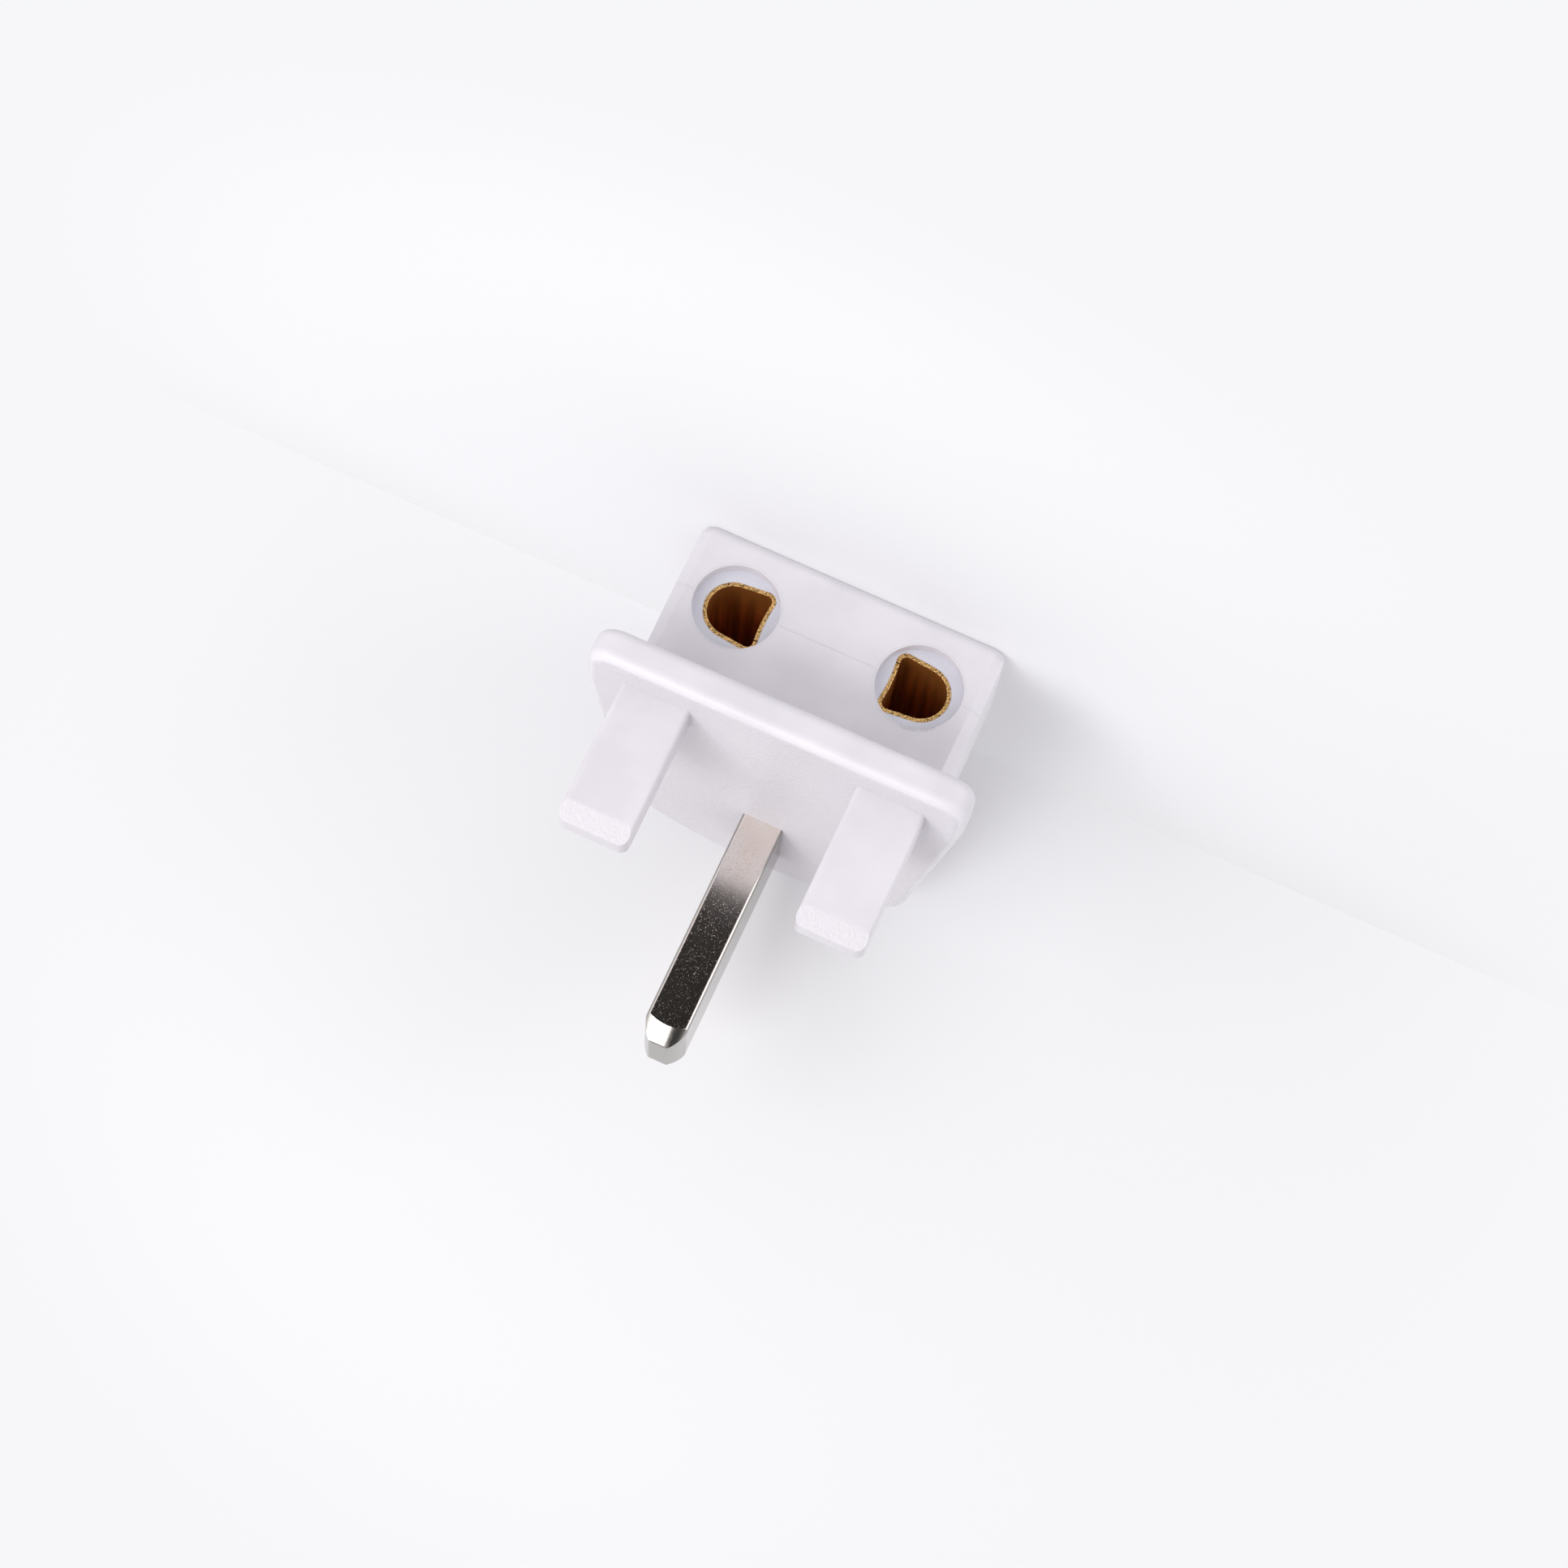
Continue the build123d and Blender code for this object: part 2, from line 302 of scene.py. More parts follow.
def core_plastic(look):
    """Moulded nylon: a cooler white than the shell, smooth and slightly waxy at the sockets' floor."""
    mottle_size = 2.5 * MM
    ripple_size = 0.5 * MM
    material = bpy.data.materials.new("moulded_nylon_cool_white")
    tree = emptied_tree(material)
    place = add_node(tree, "ShaderNodeTexCoord").outputs["Object"]
    mottle = add_node(
        tree, "ShaderNodeTexNoise",
        {"Vector": place, "Scale": 1 / mottle_size, "Detail": 2, "Roughness": 0.55},
    )
    mottled = add_node(
        tree, "ShaderNodeMapRange", {"Value": mottle, "From Min": 0.3, "From Max": 0.75},
        interpolation_type="SMOOTHSTEP",
    )
    colour = add_node(
        tree, "ShaderNodeMix",
        {"Factor": mottled, FIRST_COLOUR: rgba(look.core), SECOND_COLOUR: rgba(look.core, 0.94)},
        data_type="RGBA",
    )
    ripple = add_node(
        tree, "ShaderNodeTexNoise",
        {"Vector": place, "Scale": 1 / ripple_size, "Detail": 2, "Roughness": 0.55},
    )
    relief = add_node(tree, "ShaderNodeBump", {"Height": ripple, "Strength": 0.2, "Distance": 0.01 * MM})
    shader = add_node(
        tree, "ShaderNodeBsdfPrincipled",
        {
            "Base Color": colour,
            "Roughness": 0.38,
            "Normal": relief,
            "IOR": 1.53,
            "Subsurface Weight": 0.15,
            "Subsurface Radius": (0.9, 0.95, 1.1),
            "Subsurface Scale": 0.5 * MM,
        },
    )
    add_node(tree, "ShaderNodeOutputMaterial", {"Surface": shader})
    return material


def pin_nickel(look):
    """Nickel plate on a drawn brass bar: a mirror on the wide faces and the edges, and on the narrow
    faces the bar's sheared grain shows through as fine sparkle.

    The mirror is darker, for the dark room that it shows in the photograph and this studio hasn't.
    """
    stain_size = 3 * MM
    wave_size = 1.1 * MM
    stain_stretch = (1, 1, 0.4)
    warmed = (0.97, 0.92, 0.88)
    material = bpy.data.materials.new("nickel_plated_bar")
    tree = emptied_tree(material)
    place = add_node(tree, "ShaderNodeTexCoord").outputs["Object"]
    surface = add_node(tree, "ShaderNodeNewGeometry")
    facing = add_node(tree, "ShaderNodeSeparateXYZ", {"Vector": surface.outputs["Normal"]})
    narrow = add_node(tree, "ShaderNodeMath", {0: facing.outputs["Y"]}, operation="ABSOLUTE")
    sheared = add_node(
        tree, "ShaderNodeMapRange", {"Value": narrow, "From Min": 0.8, "From Max": 0.97},
        interpolation_type="SMOOTHSTEP",
    )

    # Warm stains along the narrow faces
    stretched = add_node(tree, "ShaderNodeMapping", {"Vector": place, "Scale": stain_stretch})
    cloud = add_node(
        tree, "ShaderNodeTexNoise",
        {"Vector": stretched, "Scale": 1 / stain_size, "Detail": 3, "Roughness": 0.55},
    )
    stain = add_node(
        tree, "ShaderNodeMapRange", {"Value": cloud, "From Min": 0.35, "From Max": 0.7},
        interpolation_type="SMOOTHSTEP",
    )
    warm = rgba(channel * share for channel, share in zip(look.nickel, warmed))
    plate = add_node(
        tree, "ShaderNodeMix",
        {"Factor": stain, FIRST_COLOUR: rgba(look.nickel), SECOND_COLOUR: warm},
        data_type="RGBA",
    )
    colour = add_node(
        tree, "ShaderNodeMix",
        {"Factor": sheared, FIRST_COLOUR: rgba(look.nickel, 0.38), SECOND_COLOUR: plate},
        data_type="RGBA",
    )

    # Sheared grain, which is rougher too
    grain = add_node(
        tree, "ShaderNodeTexNoise",
        {"Vector": place, "Scale": 1 / look.plating_grain, "Detail": 2, "Roughness": 0.55},
    )
    torn = add_node(
        tree, "ShaderNodeMapRange", {"Value": grain, "From Min": 0.62, "From Max": 0.75},
        interpolation_type="SMOOTHSTEP",
    )
    pits = add_node(tree, "ShaderNodeMath", {0: torn, 1: sheared}, operation="MULTIPLY")
    waves = add_node(
        tree, "ShaderNodeTexNoise", {"Vector": place, "Scale": 1 / wave_size, "Detail": 1, "Roughness": 0.55}
    )
    relief = add_node(tree, "ShaderNodeBump", {"Height": waves, "Strength": 0.1, "Distance": 0.01 * MM})
    relief = add_node(
        tree, "ShaderNodeBump", {"Height": pits, "Strength": 0.25, "Distance": 0.015 * MM, "Normal": relief}
    )
    polish = add_node(tree, "ShaderNodeMapRange", {"Value": sheared, "To Min": 0.15, "To Max": 0.17})
    rough = add_node(tree, "ShaderNodeMath", {0: pits, 1: 0.3, 2: polish}, operation="MULTIPLY_ADD")
    shader = add_node(
        tree, "ShaderNodeBsdfPrincipled",
        {"Base Color": colour, "Roughness": rough, "Normal": relief, "Metallic": 1.0},
    )
    add_node(tree, "ShaderNodeOutputMaterial", {"Surface": shader})
    return material


def sleeve_brass(look):
    """Rolled brass strip: browned walls with lengthwise drawing lines, darkest by the mouth, and a
    bright torn edge where the strip was cut.
    """
    line_spacing = 1.1 * MM  # the real lines are finer, and these are drawn coarser so that they show
    line_stretch = (1, 0.03, 1)
    material = bpy.data.materials.new("rolled_brass_strip")
    tree = emptied_tree(material)
    place = add_node(tree, "ShaderNodeTexCoord").outputs["Object"]
    xyz = add_node(tree, "ShaderNodeSeparateXYZ", {"Vector": place})
    surface = add_node(tree, "ShaderNodeNewGeometry")
    facing = add_node(tree, "ShaderNodeSeparateXYZ", {"Vector": surface.outputs["Normal"]})

    # The cut edge is at the mouth and looks out of the socket
    mouth = add_node(
        tree, "ShaderNodeMapRange",
        {"Value": xyz.outputs["Y"], "From Min": FLOOR_Y + 0.6 * MM, "From Max": FLOOR_Y + 0.02 * MM},
        interpolation_type="SMOOTHSTEP",
    )
    outward = add_node(
        tree, "ShaderNodeMapRange", {"Value": facing.outputs["Y"], "From Min": -0.45, "From Max": -0.75},
        interpolation_type="SMOOTHSTEP",
    )
    cut = add_node(tree, "ShaderNodeMath", {0: mouth, 1: outward}, operation="MULTIPLY")

    # Walls with drawing lines, tarnished towards the mouth
    stretched = add_node(tree, "ShaderNodeMapping", {"Vector": place, "Scale": line_stretch})
    lines = add_node(
        tree, "ShaderNodeTexNoise",
        {"Vector": stretched, "Scale": 1 / line_spacing, "Detail": 3, "Roughness": 0.55},
    )
    drawn = add_node(
        tree, "ShaderNodeMapRange", {"Value": lines, "From Min": 0.35, "From Max": 0.7},
        interpolation_type="SMOOTHSTEP",
    )
    wall = add_node(
        tree, "ShaderNodeMix",
        {
            "Factor": drawn,
            FIRST_COLOUR: rgba(look.brass_inside, 0.42),
            SECOND_COLOUR: rgba(look.brass_inside),
        },
        data_type="RGBA",
    )
    tarnish = add_node(
        tree, "ShaderNodeMapRange",
        {"Value": xyz.outputs["Y"], "From Min": FLOOR_Y + 7 * MM, "From Max": FLOOR_Y + 0.3 * MM},
        interpolation_type="SMOOTHSTEP",
    )
    wall = add_node(
        tree, "ShaderNodeMix",
        {"Factor": tarnish, FIRST_COLOUR: wall, SECOND_COLOUR: rgba(look.brass_inside, 0.3)},
        data_type="RGBA",
    )

    # Tears of the cut edge, dark in their hollows
    tears = add_node(
        tree, "ShaderNodeTexNoise",
        {"Vector": place, "Scale": 1 / look.edge_grain, "Detail": 2, "Roughness": 0.55},
    )
    crests = add_node(
        tree, "ShaderNodeMapRange", {"Value": tears, "From Min": 0.4, "From Max": 0.5},
        interpolation_type="SMOOTHSTEP",
    )
    edge = add_node(
        tree, "ShaderNodeMix",
        {"Factor": crests, FIRST_COLOUR: rgba(look.brass, 0.35), SECOND_COLOUR: rgba(look.brass)},
        data_type="RGBA",
    )
    colour = add_node(
        tree, "ShaderNodeMix", {"Factor": cut, FIRST_COLOUR: wall, SECOND_COLOUR: edge}, data_type="RGBA"
    )
    torn = add_node(tree, "ShaderNodeMath", {0: tears, 1: cut}, operation="MULTIPLY")
    relief = add_node(tree, "ShaderNodeBump", {"Height": lines, "Strength": 0.15, "Distance": 0.03 * MM})
    relief = add_node(
        tree, "ShaderNodeBump", {"Height": torn, "Strength": 0.9, "Distance": 0.16 * MM, "Normal": relief}
    )
    rough = add_node(tree, "ShaderNodeMapRange", {"Value": cut, "To Min": 0.42, "To Max": 0.3})
    bare = add_node(tree, "ShaderNodeMapRange", {"Value": cut, "To Min": 0.15, "To Max": 0.85})
    shader = add_node(
        tree, "ShaderNodeBsdfPrincipled",
        {"Base Color": colour, "Roughness": rough, "Normal": relief, "Metallic": bare},
    )
    add_node(tree, "ShaderNodeOutputMaterial", {"Surface": shader})
    return material


def dress(names, material):
    """Gives carried-over parts of the model their material."""
    for name in names:
        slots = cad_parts[name].data.materials
        slots.clear()
        slots.append(material)


class ADAPTER_OT_finish_shell(bpy.types.Operator):
    """Finish the shell and the core in their moulded plastics"""

    bl_idname = "adapter.finish_shell"
    bl_label = "Finish shell"

    def execute(self, context):
        look = context.scene.adapter_finishes
        dress(["housing"], shell_plastic(look))
        dress(["contact_carrier"], core_plastic(look))
        return {"FINISHED"}


class ADAPTER_OT_finish_metal(bpy.types.Operator):
    """Finish the earth pin in nickel and the sleeves and strap in brass"""

    bl_idname = "adapter.finish_metal"
    bl_label = "Finish metal"

    def execute(self, context):
        look = context.scene.adapter_finishes
        dress(["earth_pin"], pin_nickel(look))
        dress(["contact_sleeve_left", "contact_sleeve_right", "bus_strap"], sleeve_brass(look))
        return {"FINISHED"}


# Moulding and pressing marks


def copy_of(name):
    """The surface of a carried-over part as a joined mesh, to cut a piece from."""
    bm = bmesh.new()
    bm.from_mesh(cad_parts[name].data)
    bmesh.ops.remove_doubles(bm, verts=bm.verts, dist=0.001 * MM)
    return bm


def everything(bm):
    """All corners, edges and faces of a mesh, as a plane's cut takes them."""
    return bm.verts[:] + bm.edges[:] + bm.faces[:]


def keep_side(bm, point, towards):
    """Cuts the mesh with a plane and keeps the side that the direction points to."""
    bmesh.ops.bisect_plane(bm, geom=everything(bm), plane_co=point, plane_no=towards, clear_inner=True)


def cut_off(bm, point, outward):
    """Cuts away what lies beyond a plane and closes the hole with a flat face."""
    cut = bmesh.ops.bisect_plane(bm, geom=everything(bm), plane_co=point, plane_no=outward, clear_outer=True)
    rim = [g for g in cut["geom_cut"] if isinstance(g, bmesh.types.BMEdge) and len(g.link_faces) == 1]
    if rim:
        bmesh.ops.edgeloop_fill(bm, edges=rim)


def round_off(bm, centre, radius, start, stop, steps):
    """Rounds an edge by flat cuts that turn from one face's direction to the other's."""
    for step in range(steps + 1):
        outward = start.slerp(stop, step / steps)
        cut_off(bm, centre + outward * radius, outward)


def finished(bm, name, like, smooth=True):
    """Makes a mesh a piece: its faces look outwards, it has the finish of a carried-over part, and it
    rides on the adapter.
    """
    bmesh.ops.recalc_face_normals(bm, faces=bm.faces)
    mesh = bpy.data.meshes.new(name)
    bm.to_mesh(mesh)
    bm.free()
    mesh.polygons.foreach_set("use_smooth", [smooth] * len(mesh.polygons))
    mesh.materials.append(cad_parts[like].data.materials[0])
    made = bpy.data.objects.new(name, mesh)
    bpy.context.scene.collection.objects.link(made)
    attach(made, "root")
    return made


def lean_on_flats(mesh, limit):
    """Weighs the shading by area, so that the flats stay flat beside their roundings."""
    meeting = [[] for _ in mesh.vertices]
    for face in mesh.polygons:
        for index in face.vertices:
            meeting[index].append(face)
    normals = []
    for face in mesh.polygons:
        for index in face.vertices:
            near = [other for other in meeting[index] if other.normal.dot(face.normal) > limit]
            weighed = sum((other.normal * other.area for other in near), Vector())
            normals.append(weighed.normalized())
    mesh.normals_split_custom_set(normals)


def round_nose(bm, rounding):
    """Rounds the pin's end towards its two sides."""
    cuts = 8
    for side in (-1, 1):
        corner = Vector((side * (PIN_HIGH.x - rounding), 0, PIN_HIGH.z - rounding))
        round_off(bm, corner, rounding, Vector((side, 0, 0)), Vector((0, 0, 1)), cuts)


def bevel_front(bm, marks):
    """Cuts the bevel in front of the tip, crowned from side to side, and rounds where it meets the faces."""
    rounding = marks.bevel_rounding
    facets, cuts = 5, 5  # flats from the crown's middle to its side, and flats in a rounding
    front, end, aside = Vector((0, -1, 0)), Vector((0, 0, 1)), Vector((1, 0, 0))
    rise = atan2(marks.bevel_depth, marks.bevel_length)
    flank = Vector((0, -cos(rise), sin(rise)))
    along = Vector((0, sin(rise), cos(rise)))
    crown = PIN_HIGH.x / sin(marks.crown_angle)
    middle = Vector((0, PIN_LOW.y + marks.bevel_depth / 2, PIN_HIGH.z - marks.bevel_length / 2))
    axis = middle - flank * crown
    for step in range(-facets, facets + 1):
        tilt = marks.crown_angle * step / facets
        outward = flank * cos(tilt) + aside * sin(tilt)
        line = axis + outward * (crown - rounding)
        upper = line + along * ((PIN_LOW.y + rounding - line.y) / along.y)
        lower = line + along * ((PIN_HIGH.z - rounding - line.z) / along.z)
        round_off(bm, upper, rounding, outward, front, cuts)
        round_off(bm, lower, rounding, outward, end, cuts)
        if abs(step) == facets:
            round_off(bm, line, rounding, outward, aside * step / facets, cuts)


def rebuild_above(bm, seat):
    """Builds the bar above a level anew, as the closed hull of its corners."""
    corners = [v.co.copy() for v in bm.verts if v.co.z > seat - 0.002 * MM]
    cut_off(bm, (0, 0, seat), (0, 0, 1))
    hull = bmesh.ops.convex_hull(bm, input=[bm.verts.new(co) for co in corners])
    left_over = {g for g in hull["geom_interior"] + hull["geom_unused"] if isinstance(g, bmesh.types.BMVert)}
    bmesh.ops.delete(bm, geom=list(left_over), context="VERTS")


class ADAPTER_OT_pin_tip(bpy.types.Operator):
    """Swage the front of the earth pin's tip to a crowned bevel with rounded edges"""

    bl_idname = "adapter.pin_tip"
    bl_label = "Pin tip"

    def execute(self, context):
        marks = context.scene.adapter_marks
        flat_angle, sharp_angle = radians(0.5), radians(32)
        seat = FLANGE_FACE_Z - 0.5 * MM
        bm = copy_of("earth_pin")
        bmesh.ops.dissolve_limit(bm, angle_limit=flat_angle, verts=bm.verts, edges=bm.edges)
        bmesh.ops.bisect_plane(bm, geom=everything(bm), plane_co=(0, 0, seat), plane_no=(0, 0, 1))
        round_nose(bm, marks.nose_rounding)
        bevel_front(bm, marks)
        rebuild_above(bm, seat)
        bmesh.ops.dissolve_limit(bm, angle_limit=flat_angle, verts=bm.verts, edges=bm.edges)
        tip = finished(bm, "earth_pin_swaged", "earth_pin")
        lean_on_flats(tip.data, cos(sharp_angle))
        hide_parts("earth_pin")
        return {"FINISHED"}


def shows_the_parting(face):
    """Whether a face of the housing is outside, on the front, a side or the rear, and in no recess."""
    front_reach, side_x, rear_reach, turned = 0.85 * MM, 13 * MM, 4.5 * MM, 0.3
    place, facing = face.calc_center_median(), face.normal
    side = 1 if place.x > 0 else -1
    socket_axis = Vector((side * SOCKET_X, place.y, SOCKET_Z))
    on_front = place.y < SOCKET_FACE_Y + front_reach and facing.y < -turned
    on_side = abs(place.x) > side_x and facing.x * place.x > 0 and abs(facing.x) > turned
    on_rear = place.y > HOUSING_HIGH.y - rear_reach and facing.y > turned
    in_recess = (place - socket_axis).length < RECESS_RADIUS
    return on_rear or ((on_front or on_side) and not in_recess)


class ADAPTER_OT_parting_line(bpy.types.Operator):
    """Lay the faint raised line that the mould's two halves leave round the body"""

    bl_idname = "adapter.parting_line"
    bl_label = "Parting line"

    def execute(self, context):
        marks = context.scene.adapter_marks
        front_reach, side_x, body_y = 0.9 * MM, 12.5 * MM, 3 * MM
        crest = 0.55  # width of the line's crest as a share of its foot
        bm = copy_of("housing")
        half = Vector((0, 0, marks.line_width / 2))
        middle = Vector((0, 0, SOCKET_Z))
        keep_side(bm, middle - half, (0, 0, 1))
        keep_side(bm, middle + half, (0, 0, -1))
        hidden = [f for f in bm.faces if not shows_the_parting(f)]
        bmesh.ops.delete(bm, geom=hidden, context="FACES")
        rim = bmesh.ops.extrude_face_region(bm, geom=bm.faces[:])
        for vert in [g for g in rim["geom"] if isinstance(g, bmesh.types.BMVert)]:
            if vert.co.y < SOCKET_FACE_Y + front_reach:
                outward = Vector((0, -1, 0))
            elif abs(vert.co.x) > side_x:
                outward = Vector((1 if vert.co.x > 0 else -1, 0, 0))
            else:
                outward = Vector((vert.co.x, vert.co.y - body_y, 0)).normalized()
            vert.co += outward * marks.line_height
            vert.co.z = SOCKET_Z + (vert.co.z - SOCKET_Z) * crest
        finished(bm, "parting_line", "housing", smooth=False)
        return {"FINISHED"}


class ADAPTER_OT_recess_flash(bpy.types.Operator):
    """Leave ragged flash on the rim of a recess, where the core pin met the shell's mould"""

    bl_idname = "adapter.recess_flash"
    bl_label = "Recess flash"

    def execute(self, context):
        width = context.scene.adapter_marks.flash_width
        stretches = ((90, 110), (116, 134))  # from and to which angle round the recess, in degrees
        steps_per_degree, fewest_steps = 0.9, 6
        ragged_size, ragged_by, ragged_depth = 0.35 * MM, 0.045 * MM, 0.6
        centre = Vector((-SOCKET_X, SOCKET_FACE_Y, SOCKET_Z))
        noise.seed_set(RAGGED_SEED)
        bm = bmesh.new()
        for start, end in stretches:
            outward = Vector((cos(radians(start)), 0, sin(radians(start))))
            tip = centre + outward * (RECESS_RADIUS - width * 0.35)
            corners = [
                bm.verts.new(tip - Vector((0, 0.02 * MM, 0))),
                bm.verts.new(tip + outward * width - Vector((0, 0.05 * MM, 0))),
                bm.verts.new(tip + outward * width * 0.9 + Vector((0, 0.06 * MM, 0))),
            ]
            edges = [bm.edges.new(pair) for pair in zip(corners, corners[1:] + corners[:1])]
            steps = max(fewest_steps, int((end - start) * steps_per_degree))
            turn = radians(end - start)
            made = bmesh.ops.spin(
                bm, geom=corners + edges, cent=centre, axis=(0, -1, 0), angle=turn, steps=steps
            )
            last = [g for g in made["geom_last"] if isinstance(g, bmesh.types.BMEdge)]
            bmesh.ops.edgeloop_fill(bm, edges=edges)
            bmesh.ops.edgeloop_fill(bm, edges=last)
        for vert in bm.verts:
            wander = noise.noise_vector(vert.co / ragged_size) * ragged_by
            vert.co += Vector((wander.x, min(0.0, wander.y) * ragged_depth, wander.z))
        finished(bm, "recess_flash", "housing")
        return {"FINISHED"}


class ADAPTER_OT_recess_lip(bpy.types.Operator):
    """Run the fine rounded bead, which catches the light, round the mouth of both recesses"""

    bl_idname = "adapter.recess_lip"
    bl_label = "Recess lip"

    def execute(self, context):
        bead = context.scene.adapter_marks.lip_radius
        bm = bmesh.new()
        for side in (-1, 1):
            centre = Vector((side * SOCKET_X, SOCKET_FACE_Y, SOCKET_Z))
            ring = bmesh.ops.create_circle(bm, segments=12, radius=bead)["verts"]
            on_rim = centre + Vector((RECESS_RADIUS + bead * 0.35, bead * 0.55, 0))
            bmesh.ops.translate(bm, verts=ring, vec=on_rim)
            edges = list({e for v in ring for e in v.link_edges})
            bmesh.ops.spin(
                bm, geom=ring + edges, cent=centre, axis=(0, -1, 0), angle=2 * pi, steps=96, use_merge=True
            )
        finished(bm, "recess_lip", "housing")
        return {"FINISHED"}


class ADAPTER_OT_sleeve_burr(bpy.types.Operator):
    """Raise the torn burr round the cut edge of both brass sleeves"""

    bl_idname = "adapter.sleeve_burr"
    bl_label = "Sleeve burr"

    def execute(self, context):
        marks = context.scene.adapter_marks
        longest_edge = 0.16 * MM
        fine_tear, broad_tear, lift = 0.16 * MM, 0.4 * MM, 0.35
        spread_size, spread_by = 0.3 * MM, 0.02 * MM
        noise.seed_set(RAGGED_SEED)
        for side in ("left", "right"):
            bm = copy_of(f"contact_sleeve_{side}")
            keep_side(bm, (0, FLOOR_Y + marks.burr_depth, 0), (0, -1, 0))
            for _ in range(3):
                long_edges = [e for e in bm.edges if e.calc_length() > longest_edge]
                bmesh.ops.subdivide_edges(bm, edges=long_edges, cuts=1, use_grid_fill=True)
                bmesh.ops.triangulate(bm, faces=bm.faces)
            for vert in bm.verts:
                near = max(0.0, 1 - (vert.co.y - FLOOR_Y) / marks.burr_depth)
                tear = noise.noise(vert.co / fine_tear) * 0.6 + noise.noise(vert.co / broad_tear) * 0.4
                vert.co.y -= near * marks.burr_height * (lift + tear)
                spread = noise.noise_vector(vert.co / spread_size) * spread_by * near
                vert.co += Vector((spread.x, 0, spread.z))
            finished(bm, f"sleeve_burr_{side}", f"contact_sleeve_{side}")
        return {"FINISHED"}


# Studio


CAMERA_PLACE = Vector((-31.914, -326.434, 123.616)) * MM
CAMERA_RIGHT = Vector((-0.9107, -0.0480, -0.4102))
CAMERA_UP = Vector((0.4030, -0.3205, -0.8572))
CAMERA_BACK = CAMERA_RIGHT.cross(CAMERA_UP)
CAMERA_LENS = 88.06  # focal length in millimetres, on a sensor of 36
ADAPTER_MIDDLE = Vector((0, 0, 18 * MM))
PAPER_LIT_TO = 50 * MM  # so far from its middle the paper shows the light and the shadow
PAPER_PLAIN_FROM = 86 * MM  # and from here on it is plain


def aim(made, place, towards, up=CAMERA_UP):
    """Puts a lamp, card or camera at a place, looking along a direction."""
    back = -towards.normalized()
    right = up.cross(back).normalized()
    turned = Matrix((right, back.cross(right), back)).transposed().to_4x4()
    made.matrix_world = Matrix.Translation(place) @ turned


def pale_paper(name, paper, backdrop, keeps_shadow, see_through_behind):
    """Pale paper that shows the object's shadow near it and runs out into a plain pale backdrop.

    Paper that is seen through from behind hides nothing in the other views. Light that has come only a
    short way passes it too, so that the close paper doesn't darken the object's rear.
    """
    short_way = 14 * MM
    material = bpy.data.materials.new(name)
    tree = emptied_tree(material)
    place = add_node(tree, "ShaderNodeTexCoord").outputs["Object"]
    away = add_node(tree, "ShaderNodeVectorMath", {0: place}, operation="LENGTH")
    near = add_node(
        tree, "ShaderNodeMapRange", {"Value": away, "From Min": PAPER_PLAIN_FROM, "From Max": PAPER_LIT_TO},
        interpolation_type="SMOOTHSTEP",
    )
    share = add_node(tree, "ShaderNodeMath", {0: near, 1: keeps_shadow}, operation="MULTIPLY")
    lit = add_node(tree, "ShaderNodeBsdfDiffuse", {"Color": rgba(paper)})
    plain = add_node(tree, "ShaderNodeEmission", {"Color": rgba(backdrop), "Strength": 1.0})
    shown = add_node(tree, "ShaderNodeMixShader", {0: share, 1: plain, 2: lit})
    if see_through_behind:
        clear = add_node(tree, "ShaderNodeBsdfTransparent")
        ray = add_node(tree, "ShaderNodeLightPath").outputs
        behind = add_node(tree, "ShaderNodeNewGeometry").outputs["Backfacing"]
        short = add_node(
            tree, "ShaderNodeMath", {0: ray["Ray Length"], 1: short_way}, operation="LESS_THAN"
        )
        close = add_node(tree, "ShaderNodeMath", {0: short, 1: ray["Is Diffuse Ray"]}, operation="MULTIPLY")
        passed = add_node(tree, "ShaderNodeMath", {0: behind, 1: close}, operation="MAXIMUM")
        shown = add_node(tree, "ShaderNodeMixShader", {0: passed, 1: shown, 2: clear})
    add_node(tree, "ShaderNodeOutputMaterial", {"Surface": shown})
    return material


def flag_cloth():
    """Black flag cloth: a near-black without sheen, which shows only in reflections."""
    material = bpy.data.materials.new("black_flag_cloth")
    tree = emptied_tree(material)
    cloth = add_node(tree, "ShaderNodeEmission", {"Color": rgba(linear("242322")), "Strength": 1.0})
    add_node(tree, "ShaderNodeOutputMaterial", {"Surface": cloth})
    return material


def card(name, width, height, material):
    """A flat stage card, which light from the lamps passes."""
    bm = bmesh.new()
    bmesh.ops.create_grid(bm, x_segments=8, y_segments=8, size=0.5)
    bmesh.ops.scale(bm, vec=(width, height, 1), verts=bm.verts)
    mesh = bpy.data.meshes.new(name)
    bm.to_mesh(mesh)
    bm.free()
    mesh.materials.append(material)
    made = bpy.data.objects.new(name, mesh)
    bpy.context.scene.collection.objects.link(made)
    made.visible_shadow = False
    made.visible_diffuse = False
    return made


def lay_cards(studio):
    """Sets up the paper behind and under the adapter, and the flag that the pin mirrors."""
    behind = pale_paper("paper_behind", studio.table_paper, studio.backdrop, 1.0, see_through_behind=True)
    under = pale_paper("paper_floor", studio.floor_paper, studio.backdrop, 0.9, see_through_behind=False)
    table = card("table_behind", 0.34, 0.34, behind)
    just_behind = Vector((0, HOUSING_HIGH.y + 1.2 * MM, 16 * MM))
    aim(table, just_behind, Vector((0, 0.98, -0.199)))
    table.visible_diffuse = True
    floor = card("floor", 0.6, 0.6, under)
    aim(floor, Vector((0, 0, -0.02 * MM)), Vector((0, 0, -1)), Vector((0, 1, 0)))
    floor.visible_glossy = False
    flag = card("flag", 0.7, 1.4, flag_cloth())
    flag.visible_camera = False
    aim(flag, Vector((0.035, -0.56, 0.325)), Vector((0, 1, 0)), Vector((0, 0, 1)))


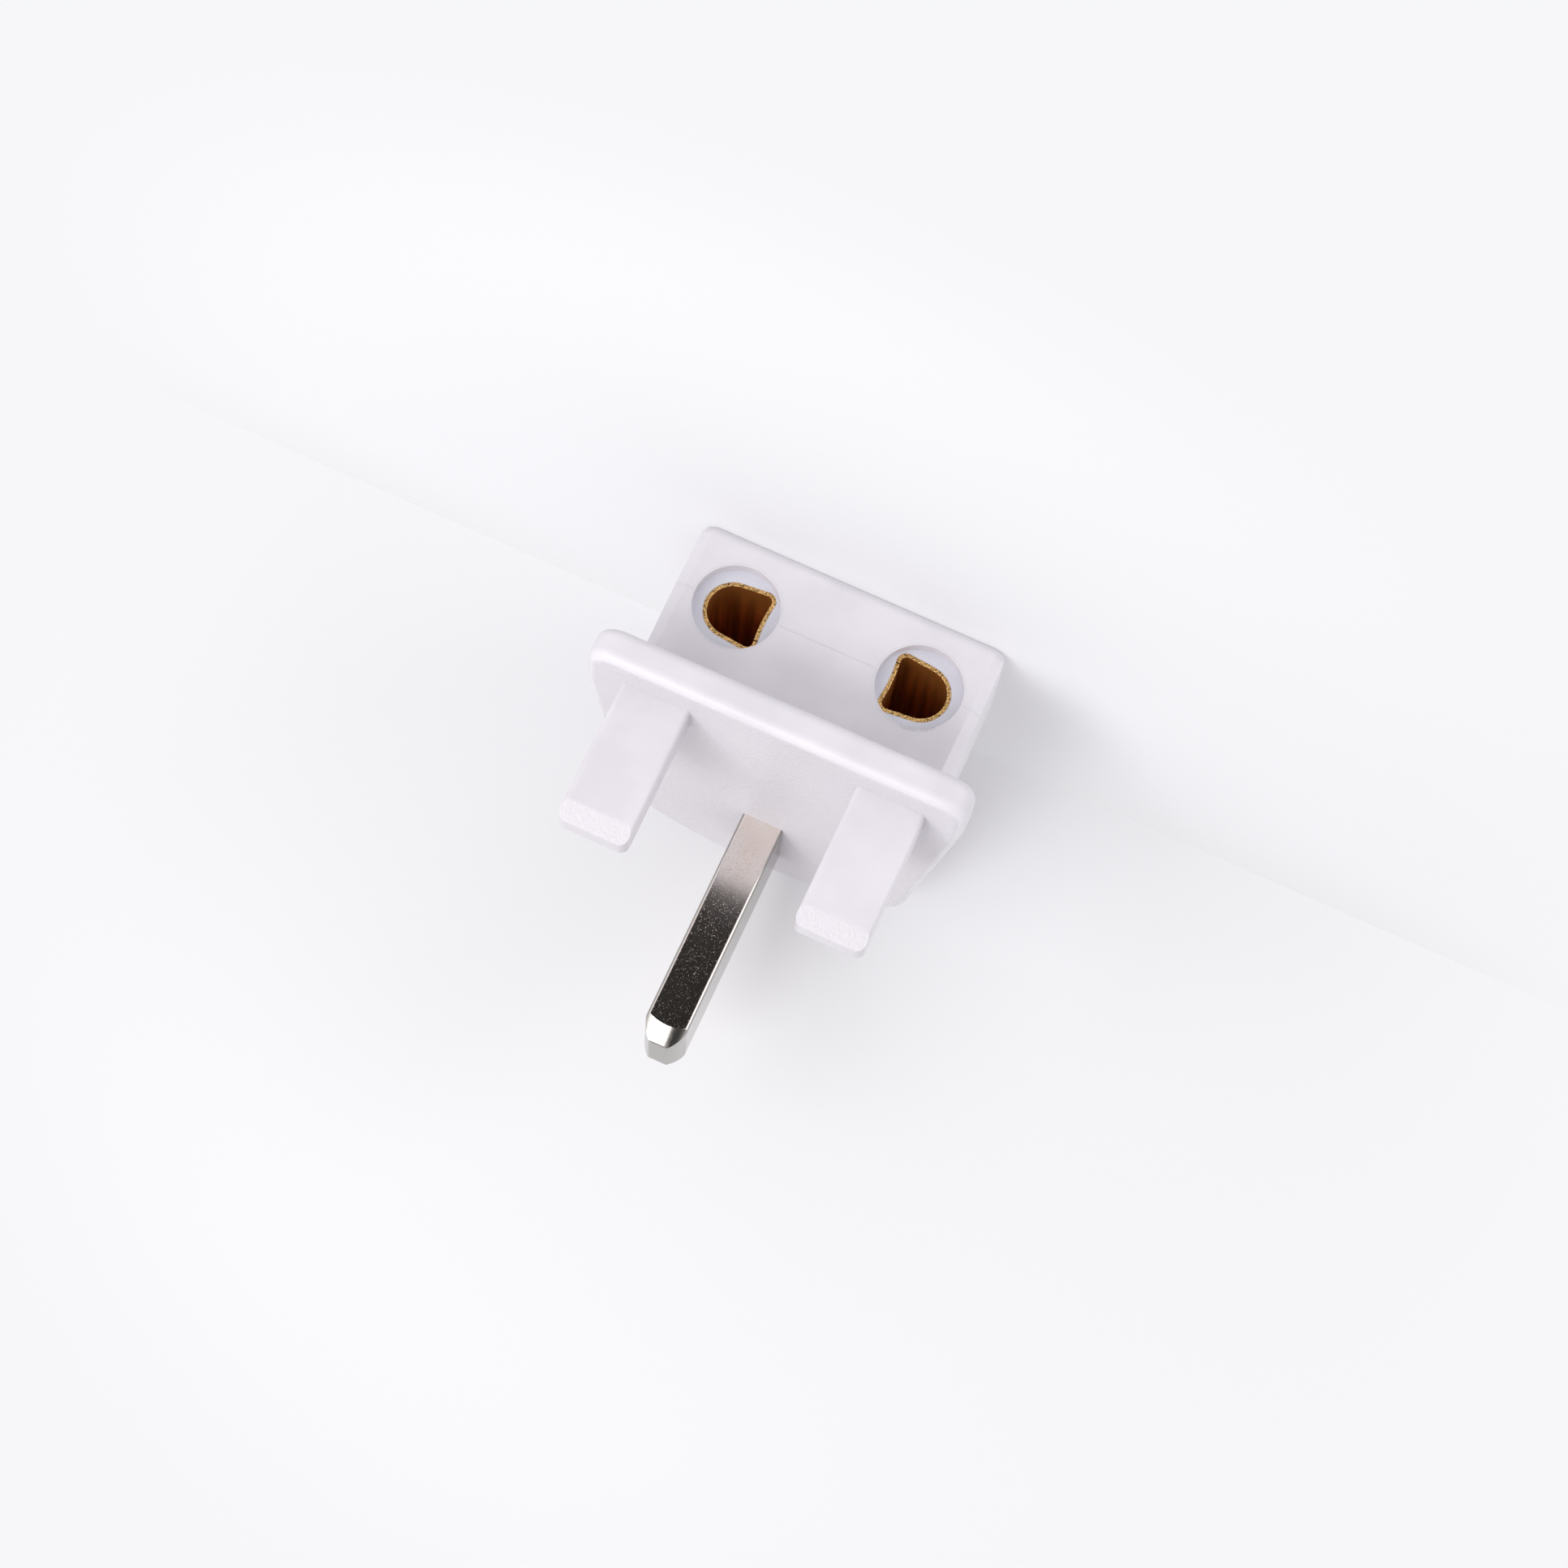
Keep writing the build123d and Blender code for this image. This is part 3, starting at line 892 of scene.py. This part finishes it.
def hang_lamps(studio):
    """Hangs three soft square lamps, each looking at the adapter's middle."""
    # Name, direction from the adapter, distance and size in metres, power and colour
    lamps = (
        ("low", (0.23, -0.63, 0.74), 0.6, 0.26, studio.low_power, (1, 0.995, 0.99)),
        ("left", (0.65, -0.6, 0.42), 0.45, 0.24, studio.left_power, (1, 0.99, 0.98)),
        ("right", (-0.83, -0.47, -0.28), 0.45, 0.26, studio.right_power, (1, 0.99, 0.985)),
    )
    for name, direction, distance, size, power, colour in lamps:
        lamp = bpy.data.lights.new(name, "AREA")
        lamp.shape = "SQUARE"
        lamp.size = size
        lamp.energy = power
        lamp.color = colour
        made = bpy.data.objects.new(name, lamp)
        bpy.context.scene.collection.objects.link(made)
        outward = Vector(direction).normalized()
        aim(made, ADAPTER_MIDDLE + outward * distance, -outward)


def fill_air(scene, studio):
    """Gives light from all round, and shows the pale backdrop to the eye, in metal and through glass."""
    world = bpy.data.worlds.new("studio_air")
    scene.world = world
    tree = emptied_tree(world)
    ray = add_node(tree, "ShaderNodeLightPath").outputs
    seen = add_node(
        tree, "ShaderNodeMath", {0: ray["Is Camera Ray"], 1: ray["Is Glossy Ray"]}, operation="MAXIMUM"
    )
    seen = add_node(tree, "ShaderNodeMath", {0: seen, 1: ray["Is Transmission Ray"]}, operation="MAXIMUM")
    air = add_node(
        tree, "ShaderNodeBackground", {"Color": rgba(linear("fefdff")), "Strength": studio.ambient}
    )
    white = add_node(tree, "ShaderNodeBackground", {"Color": rgba(studio.backdrop), "Strength": 1.0})
    mixed = add_node(tree, "ShaderNodeMixShader", {0: seen, 1: air, 2: white})
    add_node(tree, "ShaderNodeOutputWorld", {"Surface": mixed})


def place_camera(scene):
    """Puts the camera where the photograph was taken from."""
    lens = bpy.data.cameras.new("camera")
    lens.sensor_width = 36
    lens.lens = CAMERA_LENS
    lens.dof.use_dof = False
    lens.clip_start = 0.01
    lens.clip_end = 10
    camera = bpy.data.objects.new("camera", lens)
    scene.collection.objects.link(camera)
    aim(camera, CAMERA_PLACE, -CAMERA_BACK)
    scene.camera = camera


class ADAPTER_OT_studio(bpy.types.Operator):
    """Set up the backdrop, the floor, the soft light and the camera"""

    bl_idname = "adapter.studio"
    bl_label = "Studio"

    def execute(self, context):
        scene = context.scene
        lay_cards(scene.adapter_studio)
        hang_lamps(scene.adapter_studio)
        fill_air(scene, scene.adapter_studio)
        place_camera(scene)
        scene.view_settings.view_transform = "Standard"
        return {"FINISHED"}


class ADAPTER_PT_sidebar(bpy.types.Panel):
    """Lists the adapter's sizes, finishes and steps"""

    bl_idname = "ADAPTER_PT_sidebar"
    bl_label = "Grounding plug adapter"
    bl_space_type = "VIEW_3D"
    bl_region_type = "UI"
    bl_category = "Adapter"

    def draw(self, context):
        scene = context.scene
        for group in (scene.adapter_finishes, scene.adapter_marks, scene.adapter_studio):
            box = self.layout.box()
            for name in group.__annotations__:
                box.prop(group, name)
        for step in STEPS:
            self.layout.operator(step.bl_idname)


GROUPS = {
    "adapter_finishes": AdapterFinishes,
    "adapter_marks": AdapterMarks,
    "adapter_studio": AdapterStudio,
}
STEPS = (
    ADAPTER_OT_finish_shell,
    ADAPTER_OT_finish_metal,
    ADAPTER_OT_pin_tip,
    ADAPTER_OT_parting_line,
    ADAPTER_OT_recess_flash,
    ADAPTER_OT_recess_lip,
    ADAPTER_OT_sleeve_burr,
    ADAPTER_OT_studio,
)
CLASSES = (*GROUPS.values(), *STEPS, ADAPTER_PT_sidebar)


def register():
    """Adds the panel, its settings and its steps to Blender."""
    for made in CLASSES:
        bpy.utils.register_class(made)
    for name, group in GROUPS.items():
        setattr(bpy.types.Scene, name, bpy.props.PointerProperty(type=group))


def unregister():
    """Takes them out of Blender again."""
    for name in GROUPS:
        delattr(bpy.types.Scene, name)
    for made in reversed(CLASSES):
        bpy.utils.unregister_class(made)


def main():
    """Runs every step in order."""
    register()
    for step in STEPS:
        family, name = step.bl_idname.split(".")
        getattr(getattr(bpy.ops, family), name)()


if __name__ == "__main__":
    main()
